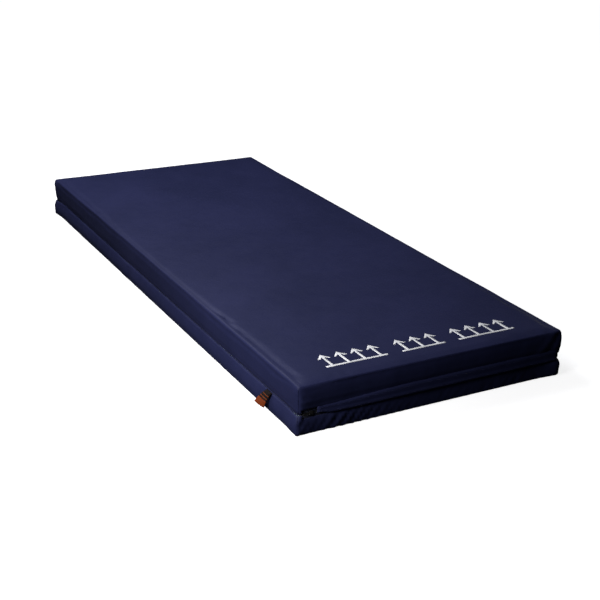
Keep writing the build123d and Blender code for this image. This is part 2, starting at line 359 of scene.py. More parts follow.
def cut_at(bm, axis, places):
    """Cut the whole mesh with planes across one axis."""
    normal = [0.0, 0.0, 0.0]
    normal[axis] = 1.0
    for place in places:
        point = [0.0, 0.0, 0.0]
        point[axis] = place
        bmesh.ops.bisect_plane(
            bm, geom=bm.verts[:] + bm.edges[:] + bm.faces[:], plane_co=point, plane_no=normal
        )


def cover_shell(low, high, closed_z):
    """An open rounded tray between two corners, whose closed side is at closed_z."""
    bm = bmesh.new()
    bmesh.ops.create_cube(bm, size=1.0)
    size = Vector(high) - Vector(low)
    bmesh.ops.scale(bm, vec=size, verts=bm.verts)
    bmesh.ops.translate(bm, vec=(Vector(high) + Vector(low)) / 2, verts=bm.verts)
    upright = [e for e in bm.edges if abs(e.verts[0].co.z - e.verts[1].co.z) > size.z / 2]
    bmesh.ops.bevel(
        bm, geom=upright, offset=CORNER_RADIUS, segments=4, affect="EDGES", profile=0.5, material=-1
    )
    rim = [e for e in bm.edges if all(abs(v.co.z - closed_z) < MM for v in e.verts)]
    bmesh.ops.bevel(bm, geom=rim, offset=RIM_RADIUS, segments=4, affect="EDGES", profile=0.5, material=-1)
    open_z = low[2] + high[2] - closed_z
    opening = [f for f in bm.faces if abs(f.calc_center_median().z - open_z) < MM]
    bmesh.ops.delete(bm, geom=opening, context="FACES_ONLY")
    cut_at(bm, 0, steps_between(low[0] + CORNER_RADIUS, high[0] - CORNER_RADIUS, CELL_X))
    cut_at(bm, 1, steps_between(low[1] + CORNER_RADIUS, high[1] - CORNER_RADIUS, CELL_Y))
    side_low, side_high = sorted((open_z, closed_z))
    if closed_z > open_z:
        side_high -= RIM_RADIUS
    else:
        side_low += RIM_RADIUS
    cut_at(bm, 2, steps_between(side_low, side_high, CELL_Z))
    return bm


def open_zip_side(bm, edge_z, window_x, keep_above):
    """Trim the shell back from the zip everywhere but on the sewn side."""
    cut_at(bm, 2, [edge_z])
    cut_at(bm, 0, [window_x])
    trimmed = []
    for face in bm.faces:
        centre = face.calc_center_median()
        beyond = centre.z < edge_z if keep_above else centre.z > edge_z
        if beyond and centre.x > window_x:
            trimmed.append(face)
    bmesh.ops.delete(bm, geom=trimmed, context="FACES")


def make_piece(name, bm, material, body):
    """Turn a bmesh into a smooth piece that rides on a body, its place in its mesh."""
    mesh = bpy.data.meshes.new(name)
    bm.to_mesh(mesh)
    bm.free()
    mesh.materials.append(material)
    for polygon in mesh.polygons:
        polygon.use_smooth = True
    piece = bpy.data.objects.new(name, mesh)
    bpy.context.collection.objects.link(piece)
    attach(piece, body)
    return piece


# %% Rough covers
WINDOW_X = LEFT + 14 * MM
SKIRT_ZIP_EDGE = 72 * MM
BORDER_ZIP_EDGE = 48 * MM
top_bm = cover_shell(top_low, top_high, top_high[2])
open_zip_side(top_bm, SKIRT_ZIP_EDGE, WINDOW_X, True)
bottom_bm = cover_shell(bottom_low, bottom_high, bottom_low[2])
open_zip_side(bottom_bm, BORDER_ZIP_EDGE, WINDOW_X, False)
print("cover faces", len(top_bm.faces), len(bottom_bm.faces))


# %% [markdown]
# ## Letting the cloth settle
# Real covers are never flat: the seams hold the cloth in and the foam pushes it out between them. A short
# Cloth simulation gives that. The cut edges are held, a light pressure stands for the foam, gravity is off,
# and how far a point may go is capped with a soft limit, so the cover keeps its size. The result replaces
# the mesh.

# %% Cloth simulation
SIM_FRAMES = 18
FOAM_PRESSURE = 0.6
SIDE_CAP = 0.35  # the upright sides may move this much of what the flat faces may
ASIDE_SHARE = 0.5  # of the move along the surface that is kept


def soft_limit(amount, cap):
    """Grows like the amount while it is small, and levels off at the cap."""
    return cap * math.tanh(amount / cap)


def settle(piece, is_held, outward_cap, inward_cap):
    """Simulate a cover half as cloth, and write the capped result into its mesh."""
    mesh = piece.data
    start = [v.co.copy() for v in mesh.vertices]
    normals = [v.normal.copy() for v in mesh.vertices]
    held = piece.vertex_groups.new(name="held")
    held.add([v.index for v in mesh.vertices if is_held(v.co)], 1.0, "REPLACE")
    modifier = piece.modifiers.new("settle", "CLOTH")
    cloth = modifier.settings
    cloth.quality = 5
    cloth.mass = 0.25
    cloth.tension_stiffness = 12.0
    cloth.compression_stiffness = 6.0
    cloth.shear_stiffness = 4.0
    cloth.bending_stiffness = 0.05
    cloth.shrink_min = -0.006
    cloth.use_pressure = True
    cloth.uniform_pressure_force = FOAM_PRESSURE
    cloth.vertex_group_mass = held.name
    cloth.effector_weights.gravity = 0.0
    modifier.collision_settings.use_collision = False
    modifier.point_cache.frame_start = 1
    modifier.point_cache.frame_end = SIM_FRAMES
    for frame_number in range(1, SIM_FRAMES + 1):
        bpy.context.scene.frame_set(frame_number)
    settled = piece.evaluated_get(bpy.context.evaluated_depsgraph_get()).data
    for vertex, before, normal in zip(mesh.vertices, start, normals):
        move = settled.vertices[vertex.index].co - before
        along = move.dot(normal)
        aside = move - along * normal
        cap = outward_cap if along > 0 else inward_cap
        cap *= SIDE_CAP + (1.0 - SIDE_CAP) * abs(normal.z)
        vertex.co = before + normal * soft_limit(along, cap) + aside * ASIDE_SHARE
    piece.modifiers.remove(modifier)
    piece.vertex_groups.remove(held)
    bpy.context.scene.frame_set(1)


# %% [markdown]
# ## Folds that the simulation can't know
# The foot border carries slanting folds where the zip was drawn round the corner, the sewn side is pulled
# in along its seam, and the corners puff out. Each is a small push along the normal, written as a formula of
# the place on the cover, so it can be read and changed. Depths inside the formulas are in millimetres.

# %% Fold patterns
SEAM_Z = 60 * MM
CORNER_REACH = 42 * MM  # how far from its upright edge a corner's puff has mostly faded

def wander(point, size, across=1.0, up=1.0):
    """Smooth noise from -1 to 1, about one size per wave; across and up set how often it turns."""
    return noise.noise(Vector((point.x / size * across, point.y / size * across, point.z / size * up)))


def bump_at(value, centre, half_width):
    """A smooth hump of height 1 round a centre."""
    return math.exp(-(((value - centre) / half_width) ** 2))


def ease(value, low, high):
    """A smooth step from 0 at low to 1 at high."""
    share = min(1.0, max(0.0, (value - low) / (high - low)))
    return share * share * (3.0 - 2.0 * share)


# How far each upright corner puffs out: (top skirt, bottom border), by side of x and y.
CORNER_PUFF = {(-1, -1): (1.5, 3.0), (1, -1): (3.5, 7.5), (-1, 1): (6.5, 5.5), (1, 1): (3.0, 3.5)}


def corner_puff(point, half):
    """The puff at a point; half 0 is the top cover and 1 the bottom cover."""
    corner = (-1 if point.x < 0 else 1, -1 if point.y < 0 else 1)
    away = math.hypot(abs(abs(point.x) - WIDTH / 2), abs(abs(point.y) - LENGTH / 2))
    return CORNER_PUFF[corner][half] * bump_at(away, 0.0, CORNER_REACH)


SIDE_FACING = 0.3  # a face whose normal has more than this of a direction belongs to that side
LEAST_LIFT = 1.2  # the flat face stands up at least this much before it waves
LEFT_UNDERCUT = 3.2
FLAP_TOP = 84 * MM
FOLD_LEVEL = 80 * MM  # the height at which the corner folds' places are given


def corner_fold(point, place, slant, half_width):
    """A slanting fold in the foot's skirt: 1 on its line, fading to both sides."""
    return bump_at(point.x - slant * (point.z - FOLD_LEVEL), place, half_width)


def top_push(point, normal):
    """How far the top cover stands off its plain shape at a point."""
    flat = max(0.0, normal.z)
    waves = 1.3 * wander(point, 0.42) + 0.7 * wander(point, 0.13) + 0.3 * wander(point, 0.05)
    push = flat * (LEAST_LIFT + waves)
    upright = 1.0 - flat
    ripples = 1.1 * wander(point, 0.09, 1.0, 0.25) + 0.6 * wander(point, 0.035, 1.0, 0.3)
    if normal.x < -SIDE_FACING:
        push -= upright * LEFT_UNDERCUT * (1.0 - ease(point.z, SEAM_Z, 128 * MM))
        push += upright * ripples * ease(point.z, 64 * MM, FLAP_TOP)
    else:
        over_flap = ease(point.z, FLAP_TOP, 93 * MM) * (1.0 - ease(point.z, 112 * MM, 134 * MM))
        push += upright * (2.0 * over_flap + ripples * ease(point.z, SKIRT_ZIP_EDGE, 86 * MM))
    if normal.y < -SIDE_FACING:
        push -= 3.2 * corner_fold(point, 385 * MM, 0.55, 6 * MM) * upright
        push += 2.0 * corner_fold(point, 352 * MM, 0.75, 9 * MM) * upright
    puff = corner_puff(point, 0) * ease(point.z, 42 * MM, 86 * MM)
    puff *= 1.0 - 0.5 * ease(point.z, 120 * MM, HEIGHT)
    return (push + upright * puff) * MM


FOLD_SPACING = 27 * MM
FOLD_SLANT = 0.75  # how far a fold leans across for each unit of height
FOLD_DEPTH = 7.0
GATHER_PITCH = 15 * MM  # of the small pleats at the left side's foot end
SEWN_PINCH = 2.6  # how far the left side is drawn in along its seam


def slanting_folds(along, z, strength):
    """Ridges that lean the same way, uneven in height and spacing."""
    where = (along - FOLD_SLANT * z) / FOLD_SPACING
    where += 0.8 * noise.noise(Vector((along * 9.0, z * 6.0, 3.1)))
    ridge = (0.5 + 0.5 * math.cos(2.0 * math.pi * where)) ** 3.0
    uneven = 0.55 + 0.45 * noise.noise(Vector((along * 17.0, 4.7, z * 4.0)))
    return strength * ridge * uneven


def bottom_push(point, normal):
    """How far the bottom cover stands off its plain shape at a point."""
    upright = 1.0 - abs(normal.z)
    held_top = BORDER_ZIP_EDGE if point.x > WINDOW_X else SEAM_Z
    free = ease(held_top - point.z, -0.5 * MM, 10 * MM)
    push = 1.0 * wander(point, 0.07, 1.0, 0.3) + 0.5 * wander(point, 0.03, 1.0, 0.4)
    sewn = 0.0
    if abs(normal.y) > SIDE_FACING:
        share = 0.3 + 0.7 * bump_at(point.x - LEFT, 0.12, 0.17)
        push += slanting_folds(point.x, point.z, FOLD_DEPTH * share)
    if normal.x < -SIDE_FACING:
        push += 1.1 * wander(point, 0.045, 1.0, 0.2) * ease(point.y, -0.5, 0.2)
        push += 3.4 * bump_at(point.z, 22 * MM, 20 * MM)
        gather = bump_at(point.y - FOOT, 26 * MM, 16 * MM) * (1.0 - ease(point.z, 22 * MM, 48 * MM))
        push += 1.6 * gather * math.cos((point.y - FOOT) * 2.0 * math.pi / GATHER_PITCH)
        sewn = SEWN_PINCH * bump_at(point.z, SEAM_Z, 10 * MM)
    return upright * (free * push + (0.5 + 0.5 * free) * corner_puff(point, 1) - sewn) * MM


def push_out(piece, depth):
    """Move every vertex along its normal by what depth says."""
    moved = [v.co + v.normal * depth(v.co, v.normal) for v in piece.data.vertices]
    for vertex, place in zip(piece.data.vertices, moved):
        vertex.co = place
    piece.data.update()


def give_thickness(piece, thickness, offset=-1.0, lining=None):
    """Solidify an open sheet; offset -1 builds inwards from the outer face. A lining faces the inside."""
    wall = piece.modifiers.new("thickness", "SOLIDIFY")
    wall.thickness = thickness
    wall.offset = offset
    if lining:
        piece.data.materials.append(lining)
        wall.material_offset = 1


# %% Cover halves
CLOTH_THICKNESS = 1.0 * MM
top_cloth = make_piece("top_cover_cloth", top_bm, cover_fabric, "cover_top")
bottom_cloth = make_piece("bottom_cover_cloth", bottom_bm, cover_fabric, "mattress_base")
settle(top_cloth, lambda p: p.z < SKIRT_ZIP_EDGE + MM, 3.0 * MM, 1.2 * MM)
settle(bottom_cloth, lambda p: p.z > BORDER_ZIP_EDGE - MM or p.z < 2 * MM, 2.5 * MM, 1.0 * MM)
push_out(top_cloth, top_push)
push_out(bottom_cloth, bottom_push)
for cloth in (top_cloth, bottom_cloth):
    for vertex in cloth.data.vertices:
        vertex.co.z = max(vertex.co.z, 0.0)
    give_thickness(cloth, CLOTH_THICKNESS, lining=cover_lining)
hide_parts("top_cover")
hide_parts("bottom_cover")

# %% [markdown]
# ## Weather flaps
# A strip of the same fabric hangs over the zip from a seam above it, so that fluids run off. It stands
# proud by a few millimetres, has a double hem, and ripples a little. One outline is extruded along each zip
# side. The foot flap lies nearly flat where it starts, beside the parked puller.

# %% Flap builder
# Each point of a flap's section, in millimetres: how far it stands off the wall, and its height.
FLAP_OUTLINE = [
    (0.4, 83.0),
    (1.4, 82.2),
    (3.6, 79.5),
    (4.6, 75.0),
    (4.8, 66.0),
    (4.7, 59.5),
    (5.4, 58.3),
    (5.5, 55.0),
    (5.3, 51.8),
    (4.8, 50.2),
]
HEM_STITCH_Z, SEAM_STITCH_Z = 55.0 * MM, 75.0 * MM
STITCH_STAND = 0.5 * MM  # from the middle of the flap's cloth to the middle of a stitch
FLAP_STEP = 9 * MM
FLAP_TO_CORNER = 10 * MM  # the cloth reaches this much nearer to the right corners than the CAD strip
FLAP_SEAM_Z = 82 * MM
FLAP_THICKNESS, FLAP_FLAT_DROP = 0.9 * MM, 35 * MM


def lay_down(vert, reach, outward):
    """Press the foot flap's first stretch to the wall, lower its seam and lift its hem there."""
    stand = vert.co.dot(outward) - LENGTH / 2
    vert.co -= outward * (stand * 0.7 * (1.0 - ease(reach, -10 * MM, 110 * MM)))
    vert.co.z -= 9.0 * MM * ease(vert.co.z, 60 * MM, 83 * MM) * (1.0 - ease(reach, 0.0, 300 * MM))
    low_part = 1.0 - ease(vert.co.z, 50 * MM, 70 * MM)
    vert.co.z += 7.0 * MM * low_part * (1.0 - ease(reach, 0.0, 50 * MM))


def flap_cloth(name, node, outward):
    """A hemmed flap over one zip side; outward is the way it faces. Gives back its two stitch lines."""
    low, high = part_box(node)
    outward = Vector(outward)
    along = Vector((abs(outward.y), abs(outward.x), 0.0))
    span = abs((Vector(high) - Vector(low)).dot(along))
    face = Vector((RIGHT if outward.x > 0 else 0.0, outward.y * LENGTH / 2, 0.0))
    reach_back = FLAP_TO_CORNER if outward.x > 0 else 0.0
    span += FLAP_TO_CORNER + reach_back
    start = (Vector(low).dot(along) - reach_back) * along + face
    bm = bmesh.new()
    row = [bm.verts.new(start + outward * (out * MM) + Vector((0, 0, z * MM))) for out, z in FLAP_OUTLINE]
    edges = [bm.edges.new(pair) for pair in zip(row, row[1:])]
    count = round(span / FLAP_STEP)
    for _ in range(count):
        made = bmesh.ops.extrude_edge_only(bm, edges=edges)["geom"]
        edges = [g for g in made if isinstance(g, bmesh.types.BMEdge)]
        fresh = [g for g in made if isinstance(g, bmesh.types.BMVert)]
        bmesh.ops.translate(bm, vec=along * (span / count), verts=fresh)
    stitch_rows = []
    for height in (HEM_STITCH_Z, SEAM_STITCH_Z):
        stitch_rows.append([v for v in bm.verts if abs(v.co.z - height) < 0.05 * MM])
    for vert in bm.verts:
        hang = ease(FLAP_SEAM_Z - vert.co.z, 0.0, 30 * MM)
        where = vert.co.dot(along)
        if outward.y < 0:
            lay_down(vert, where - start.dot(along), outward)
        sway = 0.55 * noise.noise(Vector((where * 16.0, outward.x, 1.7))) * hang
        sway += 0.25 * noise.noise(Vector((where * 60.0, outward.y, vert.co.z * 30.0)))
        vert.co += outward * (sway * MM)
        vert.co.z += 0.8 * MM * hang * noise.noise(Vector((where * 7.0, 5.5, outward.y)))
    bmesh.ops.recalc_face_normals(bm, faces=bm.faces)
    if sum(f.normal.dot(outward) for f in bm.faces) < 0:
        bmesh.ops.reverse_faces(bm, faces=bm.faces)
    lines = []
    for row in stitch_rows:
        row.sort(key=lambda v: v.co.dot(along))
        lines.append([v.co + outward * STITCH_STAND for v in row])
    piece = make_piece(name, bm, cover_fabric, node)
    give_thickness(piece, FLAP_THICKNESS, 0.0)
    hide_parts(node)
    return lines


flap_seams = {
    "flap_foot": flap_cloth("flap_foot_cloth", "flap_foot", (0, -1, 0)),
    "flap_right": flap_cloth("flap_right_cloth", "flap_right", (1, 0, 0)),
    "flap_head": flap_cloth("flap_head_cloth", "flap_head", (0, 1, 0)),
}
print("flaps hung")

# %% [markdown]
# ## Thread, zip and other small finishes
# Six more finishes are needed: thread, zip tape, woven ribbon, nylon coil, worn metal and printed ink. The
# first three share one weave group, whose thread count is an input. The last three share a group of rubbed
# patches and scratches, which sways both colour and roughness, as handling does.

# %% Weave group and woven finishes
weave_group, weave_in, weave_out = make_group(
    "plain_weave",
    {"Vector": ("NodeSocketVector", None), "Threads per metre": ("NodeSocketFloat", 2500.0)},
    {"Height": "NodeSocketFloat", "Fade": "NodeSocketFloat"},
)
for_waves = math_node(weave_group, "MULTIPLY", weave_in.outputs["Threads per metre"], WAVE_PERIODS)
threads = []
for direction in ("X", "Y", "Z"):
    wave = put(weave_group, "ShaderNodeTexWave", bands_direction=direction, Distortion=0.3, Detail=1.0)
    weave_group.links.new(weave_in.outputs["Vector"], wave.inputs["Vector"])
    weave_group.links.new(for_waves, wave.inputs["Scale"])
    threads.append(wave.outputs["Fac"])
crossed = math_node(weave_group, "MULTIPLY", threads[0], threads[1])
weave_group.links.new(math_node(weave_group, "MAXIMUM", crossed, threads[2]), weave_out.inputs["Height"])
weave_group.links.new(
    noise_at(weave_group, weave_in.outputs["Vector"], 160.0, 3.0), weave_out.inputs["Fade"]
)


def new_material(name):
    """A material with its node tree and Principled shader."""
    material = bpy.data.materials.new(name)
    material.use_nodes = True
    return material, material.node_tree, material.node_tree.nodes["Principled BSDF"]


def woven_material(name, deep, pale, count, depth, roughness):
    """A woven finish on Object coordinates."""
    material, tree, shader = new_material(name)
    place = put(tree, "ShaderNodeTexCoord")
    weave = put(tree, "ShaderNodeGroup", node_tree=weave_group, Threads_per_metre=count)
    tree.links.new(place.outputs["Object"], weave.inputs["Vector"])
    shade = math_node(tree, "MULTIPLY", weave.outputs["Height"], weave.outputs["Fade"])
    tone = spread(tree, shade, 0.05, 0.5, 0.0, 1.0)
    tree.links.new(blend_colour(tree, tone, deep, pale), shader.inputs["Base Color"])
    rough = spread(tree, weave.outputs["Fade"], 0.3, 0.7, roughness - 0.06, roughness + 0.08)
    tree.links.new(rough, shader.inputs["Roughness"])
    shader.inputs["Specular IOR Level"].default_value = 0.3
    bump = put(tree, "ShaderNodeBump", Strength=0.5, Distance=depth)
    tree.links.new(weave.outputs["Height"], bump.inputs["Height"])
    tree.links.new(bump.outputs["Normal"], shader.inputs["Normal"])
    return material


zip_tape = woven_material("tape_weave", (0.008, 0.009, 0.02), (0.022, 0.024, 0.05), 1600.0, 0.0002, 0.72)
thread = woven_material("sewing_thread", (0.02, 0.023, 0.06), (0.045, 0.05, 0.12), 4200.0, 0.0001, 0.55)


# %% Coil, metal and ink
def worn_group():
    """Two scales of noise: broad rubbed patches and fine scratches."""
    group, group_in, group_out = make_group(
        "rubbed",
        {"Vector": ("NodeSocketVector", None), "Scale": ("NodeSocketFloat", 500.0)},
        {"Patches": "NodeSocketFloat", "Scratches": "NodeSocketFloat"},
    )
    patches = noise_at(group, group_in.outputs["Vector"], group_in.outputs["Scale"], 4.0, 0.6)
    stretch = put(group, "ShaderNodeMapping", Scale=(1.0, 1.0, 9.0))
    group.links.new(group_in.outputs["Vector"], stretch.inputs["Vector"])
    fine = math_node(group, "MULTIPLY", group_in.outputs["Scale"], 3.0)
    scratches = noise_at(group, stretch.outputs["Vector"], fine, 6.0, 0.7)
    group.links.new(patches, group_out.inputs["Patches"])
    group.links.new(scratches, group_out.inputs["Scratches"])
    return group


rubbed = worn_group()


def rubbed_material(name, deep, pale, scale, rough_low, rough_high, metallic, depth):
    """A hard finish whose colour and gloss vary with handling."""
    material, tree, shader = new_material(name)
    place = put(tree, "ShaderNodeTexCoord")
    wear = put(tree, "ShaderNodeGroup", node_tree=rubbed, Scale=scale)
    tree.links.new(place.outputs["Object"], wear.inputs["Vector"])
    tone = spread(tree, wear.outputs["Patches"], 0.35, 0.65, 0.0, 1.0)
    tree.links.new(blend_colour(tree, tone, deep, pale), shader.inputs["Base Color"])
    rough = spread(tree, wear.outputs["Scratches"], 0.35, 0.65, rough_low, rough_high)
    tree.links.new(rough, shader.inputs["Roughness"])
    shader.inputs["Metallic"].default_value = metallic
    bump = put(tree, "ShaderNodeBump", Strength=0.4, Distance=depth)
    tree.links.new(wear.outputs["Scratches"], bump.inputs["Height"])
    tree.links.new(bump.outputs["Normal"], shader.inputs["Normal"])
    return material


coil_nylon = rubbed_material(
    "coil_nylon", (0.008, 0.009, 0.016), (0.02, 0.022, 0.035), 900.0, 0.28, 0.5, 0.0, 0.0001
)
slider_metal = rubbed_material(
    "nickel", (0.075, 0.075, 0.08), (0.24, 0.235, 0.23), 420.0, 0.28, 0.55, 1.0, 0.00015
)
print_ink = rubbed_material(
    "white_ink", (0.82, 0.83, 0.85), (0.92, 0.93, 0.95), 260.0, 0.5, 0.7, 0.0, 0.0002
)
print("finishes", zip_tape.name, thread.name, coil_nylon.name, slider_metal.name, print_ink.name)

# %% [markdown]
# ## Zip tapes and coils
# The zip runs along the foot, round the right side and back along the head. Its line is written once, as
# points with two rounded corners, and everything on the zip follows it. A tape is a column of edges extruded
# from point to point. A coil is one small beveled loop, repeated and bent by Array and Curve modifiers, and
# then made plain mesh.


# %% Zip line and tapes
ZIP_CORNER_RADIUS = 12 * MM
QUARTER_TURN = [math.radians(angle) for angle in range(0, 91, 15)]


def zip_line(inset, start_x, step):
    """Points along the zip, at a depth inside the walls, from the foot's left end to the head's."""
    radius = ZIP_CORNER_RADIUS - inset
    far, near_y, far_y = RIGHT - inset, FOOT + inset, HEAD - inset
    centre_x, foot_centre, head_centre = far - radius, near_y + radius, far_y - radius
    across = [start_x, *steps_between(start_x, centre_x, step)]
    points = [Vector((x, near_y, 0.0)) for x in across]
    for turn in QUARTER_TURN:
        x, y = centre_x + radius * math.sin(turn), foot_centre - radius * math.cos(turn)
        points.append(Vector((x, y, 0.0)))
    for y in steps_between(foot_centre, head_centre, step):
        points.append(Vector((far, y, 0.0)))
    for turn in QUARTER_TURN:
        x, y = centre_x + radius * math.cos(turn), head_centre + radius * math.sin(turn)
        points.append(Vector((x, y, 0.0)))
    points += [Vector((x, far_y, 0.0)) for x in reversed(across)]
    return points


TAPE_INSET, TAPE_THICKNESS, TAPE_START = 2.0 * MM, 0.7 * MM, LEFT + 9 * MM
TAPE_STEP, TAPE_ROWS = 40 * MM, 4


def tape_cloth(name, node, body):
    """A woven tape as high as its CAD node, extruded along the zip line. Gives back its length."""
    low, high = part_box(node)
    points = zip_line(TAPE_INSET, TAPE_START, TAPE_STEP)
    heights = [low.z + (high.z - low.z) * i / TAPE_ROWS for i in range(TAPE_ROWS + 1)]
    bm = bmesh.new()
    column = [bm.verts.new(points[0] + Vector((0.0, 0.0, z))) for z in heights]
    edges = [bm.edges.new(pair) for pair in zip(column, column[1:])]
    for before, after in zip(points, points[1:]):
        made = bmesh.ops.extrude_edge_only(bm, edges=edges)["geom"]
        edges = [g for g in made if isinstance(g, bmesh.types.BMEdge)]
        fresh = [g for g in made if isinstance(g, bmesh.types.BMVert)]
        bmesh.ops.translate(bm, vec=after - before, verts=fresh)
    bmesh.ops.recalc_face_normals(bm, faces=bm.faces)
    length = sum((after - before).length for before, after in zip(points, points[1:]))
    piece = make_piece(name, bm, zip_tape, body)
    give_thickness(piece, TAPE_THICKNESS, 0.0)
    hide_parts(node)
    return length


print("tape length", round(tape_cloth("upper_tape_cloth", "upper_zip_tape", "cover_top"), 3))
tape_cloth("lower_tape_cloth", "lower_zip_tape", "mattress_base")


# %% Rows of small shapes
def surface_of(cloth):
    """A piece's own mesh as a tree that rays and nearest points can be asked of."""
    return BVHTree.FromPolygons(
        [v.co for v in cloth.data.vertices], [p.vertices[:] for p in cloth.data.polygons]
    )


def small_block(size, bevel):
    """A beveled block of 26 faces that starts at the origin and points along X."""
    bm = bmesh.new()
    bmesh.ops.create_cube(bm, size=1.0)
    bmesh.ops.scale(bm, vec=size, verts=bm.verts)
    bmesh.ops.translate(bm, vec=(size[0] / 2, 0.0, 0.0), verts=bm.verts)
    bmesh.ops.bevel(
        bm, geom=bm.edges[:], offset=bevel, segments=1, affect="EDGES", profile=0.5, material=-1
    )
    mesh = bpy.data.meshes.new("small_block")
    bm.to_mesh(mesh)
    bm.free()
    return mesh


def row_along(block, points, pitch, bm):
    """Repeat a block along a line of points, and add the result to a bmesh."""
    line = bpy.data.curves.new("row_line", "CURVE")
    line.dimensions = "3D"
    line.twist_mode = "Z_UP"
    spline = line.splines.new("POLY")
    spline.points.add(len(points) - 1)
    for spot, point in zip(spline.points, points):
        spot.co = (*point, 1.0)
    guide = bpy.data.objects.new("row_line", line)
    row = bpy.data.objects.new("row", block)
    for thing in (guide, row):
        bpy.context.collection.objects.link(thing)
    repeat = row.modifiers.new("repeat", "ARRAY")
    repeat.use_relative_offset = False
    repeat.use_constant_offset = True
    repeat.constant_offset_displace = (pitch, 0.0, 0.0)
    repeat.fit_type = "FIT_CURVE"
    repeat.curve = guide
    bend = row.modifiers.new("bend", "CURVE")
    bend.object = guide
    bend.deform_axis = "POS_X"
    made = bpy.data.meshes.new_from_object(row.evaluated_get(bpy.context.evaluated_depsgraph_get()))
    bm.from_mesh(made)
    for thing in (guide, row):
        bpy.data.objects.remove(thing)
    bpy.data.meshes.remove(made)
    bpy.data.curves.remove(line)


def lifted(points, z):
    """The same points at another height."""
    return [Vector((p.x, p.y, z)) for p in points]


# %% Zip coils
COIL_PITCH, COIL_INSET, COIL_START = 2.5 * MM, 0.75 * MM, LEFT + 47.5 * MM
COIL_FROM_SEAM = 1.75 * MM  # from the zip's middle height to a coil's
ROUTE_STEP = 200 * MM
coil_loop = small_block((1.35 * MM, 1.2 * MM, 2.3 * MM), 0.38 * MM)
for name, node, body, z, shift in (
    ("upper_coil_loops", "upper_zip_coil", "cover_top", SEAM_Z + COIL_FROM_SEAM, 0.0),
    ("lower_coil_loops", "lower_zip_coil", "mattress_base", SEAM_Z - COIL_FROM_SEAM, COIL_PITCH / 2),
):
    bm = bmesh.new()
    route = zip_line(COIL_INSET, COIL_START + shift, ROUTE_STEP)
    row_along(coil_loop, lifted(route, z), COIL_PITCH, bm)
    print(name, len(bm.faces), "faces")
    coil = make_piece(name, bm, coil_nylon, body)
    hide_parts(node)

# %% [markdown]
# ## Stitching
# Each flap has a row of stitches on its hem and one under its top seam, and the border is stitched to its
# tape. A stitch is the same kind of small block as a coil loop, only longer. The rows on a flap follow the
# points that were kept while the flap was rippled, so they lie on the cloth.

# %% Stitch rows
STITCH_PITCH = 4.4 * MM
BORDER_STITCH_Z, BORDER_STITCH_START = 45.5 * MM, LEFT + 16 * MM
BORDER_STITCH_LIFT = 0.1 * MM
stitch = small_block((3.2 * MM, 0.55 * MM, 0.6 * MM), 0.17 * MM)
for body, rows in flap_seams.items():
    bm = bmesh.new()
    for row in rows:
        row_along(stitch, row, STITCH_PITCH, bm)
    make_piece(body + "_stitches", bm, thread, body)
bm = bmesh.new()
border_route = lifted(zip_line(0.0, BORDER_STITCH_START, ROUTE_STEP), BORDER_STITCH_Z)
row_along(stitch, border_route, STITCH_PITCH, bm)
border_tree = surface_of(bottom_cloth)
for vert in bm.verts:
    nearest, normal, _, _ = border_tree.find_nearest(vert.co)
    vert.co += normal * ((nearest - vert.co).dot(normal) + BORDER_STITCH_LIFT)
make_piece("border_stitches", bm, thread, "mattress_base")
print("stitched")

# %% [markdown]
# ## Sewn side and corner seams
# The left side has no zip: both halves are sewn over a round piping, about which the top cover also folds
# open. The upright corners are closed by a seam that shows as a thin ridge. Both are tubes along a line, and
# the corner lines are found by casting rays at the finished cloth, so that they follow its puffs.


# %% Tubes along lines
def tube(lines, radius, resolution):
    """A bmesh of round tubes with closed ends, one along each line of points."""
    curve = bpy.data.curves.new("tube_line", "CURVE")
    curve.dimensions = "3D"
    curve.bevel_depth = radius
    curve.bevel_resolution = resolution
    curve.use_fill_caps = True
    for points in lines:
        spline = curve.splines.new("POLY")
        spline.points.add(len(points) - 1)
        for spot, point in zip(spline.points, points):
            spot.co = (*point, 1.0)
    holder = bpy.data.objects.new("tube_line", curve)
    bpy.context.collection.objects.link(holder)
    mesh = bpy.data.meshes.new_from_object(
        holder.evaluated_get(bpy.context.evaluated_depsgraph_get())
    )
    bm = bmesh.new()
    bm.from_mesh(mesh)
    bmesh.ops.remove_doubles(bm, verts=bm.verts, dist=0.001 * MM)
    bmesh.ops.recalc_face_normals(bm, faces=bm.faces)
    bpy.data.objects.remove(holder)
    bpy.data.curves.remove(curve)
    bpy.data.meshes.remove(mesh)
    return bm


PIPING_RADIUS = 1.9 * MM
PIPING_CLEAR_OF_CORNER = 9 * MM
PIPING_INSET = 4.2 * MM  # from the cover's walls to the piping's middle
PIPING_END_X = WINDOW_X + 2 * MM
side_x, foot_y, head_y = LEFT + PIPING_INSET, FOOT + PIPING_INSET, HEAD - PIPING_INSET
bend_radius = PIPING_CLEAR_OF_CORNER - PIPING_INSET
piping_line = [Vector((PIPING_END_X, foot_y, SEAM_Z))]
for turn in QUARTER_TURN:
    step = Vector((1.0 - math.sin(turn), 1.0 - math.cos(turn), 0.0)) * bend_radius
    piping_line.append(Vector((side_x, foot_y, SEAM_Z)) + step)
for y in steps_between(FOOT + PIPING_CLEAR_OF_CORNER, HEAD - PIPING_CLEAR_OF_CORNER, 20 * MM):
    sway = 0.35 * MM * noise.noise(Vector((y * 6.0, 2.2, 0.0)))
    piping_line.append(Vector((side_x + sway, y, SEAM_Z + sway)))
for turn in QUARTER_TURN:
    step = Vector((1.0 - math.cos(turn), math.sin(turn) - 1.0, 0.0)) * bend_radius
    piping_line.append(Vector((side_x, head_y, SEAM_Z)) + step)
piping_line.append(Vector((PIPING_END_X, head_y, SEAM_Z)))
piping = make_piece("seam_piping", tube([piping_line], PIPING_RADIUS, 3), cover_fabric, "mattress_base")
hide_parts("left_seam_welt")


